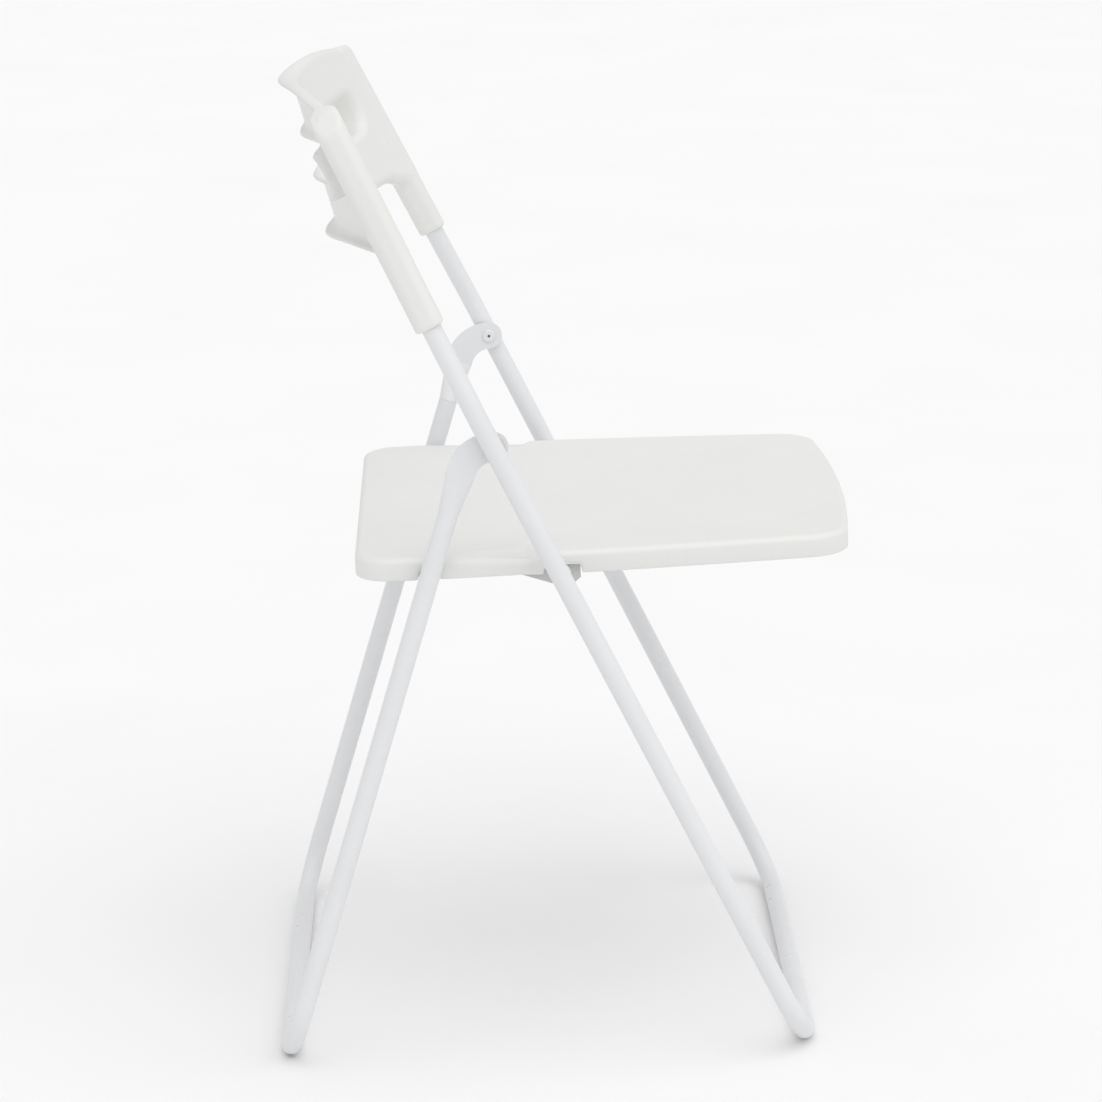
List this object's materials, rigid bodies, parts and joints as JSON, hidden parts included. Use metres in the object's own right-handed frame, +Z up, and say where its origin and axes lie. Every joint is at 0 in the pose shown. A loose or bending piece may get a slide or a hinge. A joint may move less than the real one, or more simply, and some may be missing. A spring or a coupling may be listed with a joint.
{
  "type": "folding chair",
  "caption": "Folding chair with bent tube front and rear frames, a moulded seat and a slotted moulded backrest; the frames cross at a pivot above the seat and fold flat.",
  "frame": {"origin": "on the floor, in the middle of the width and of the depth from the seat's front edge to the rear floor bar", "axes": "+Z up, the sitter faces -Y, X across the chair"},
  "size_m": [0.4702, 0.4752, 0.7774],
  "materials": {
    "frame_paint": "satin white powder coat",
    "shell_plastic": "fine-grained warm white moulding",
    "bracket_paint": "satin grey-white powder coat",
    "zinc_steel": "zinc plated",
    "natural_nylon": "milky white nylon"
  },
  "bodies": {
    "front_frame": {"front_frame_tube": "frame_paint", "backrest": "shell_plastic", "frame_pivot_rivet_left": "frame_paint", "frame_pivot_rivet_right": "frame_paint", "frame_pivot_washer_left": "natural_nylon", "frame_pivot_washer_right": "natural_nylon", "seat_pivot_rivet_left": "zinc_steel", "seat_pivot_rivet_right": "zinc_steel", "seat_pivot_spacer_left": "natural_nylon", "seat_pivot_spacer_right": "natural_nylon"},
    "rear_frame": {"rear_frame_tube": "frame_paint", "seat_guide_rivet_left": "zinc_steel", "seat_guide_rivet_right": "zinc_steel"},
    "seat": {"seat_shell": "shell_plastic", "seat_bracket_left": "bracket_paint", "seat_bracket_right": "bracket_paint", "seat_bracket_screws": "zinc_steel"}
  },
  "joints": [
    {"name": "rear_frame_fold", "type": "hinge", "parent": "front_frame", "child": "rear_frame", "pos_m": [0, 0.05127, 0.51097], "axis": [-1, 0, 0], "range_deg": [0, 43.16]},
    {"name": "seat_fold", "type": "hinge", "parent": "front_frame", "child": "seat", "pos_m": [0, -0.0007, 0.4028], "axis": [-1, 0, 0], "range_deg": [0, 114.6]}
  ],
  "couplings": [
    {"joint": "seat_fold", "follows": "rear_frame_fold", "ratio": 2.6548}
  ]
}
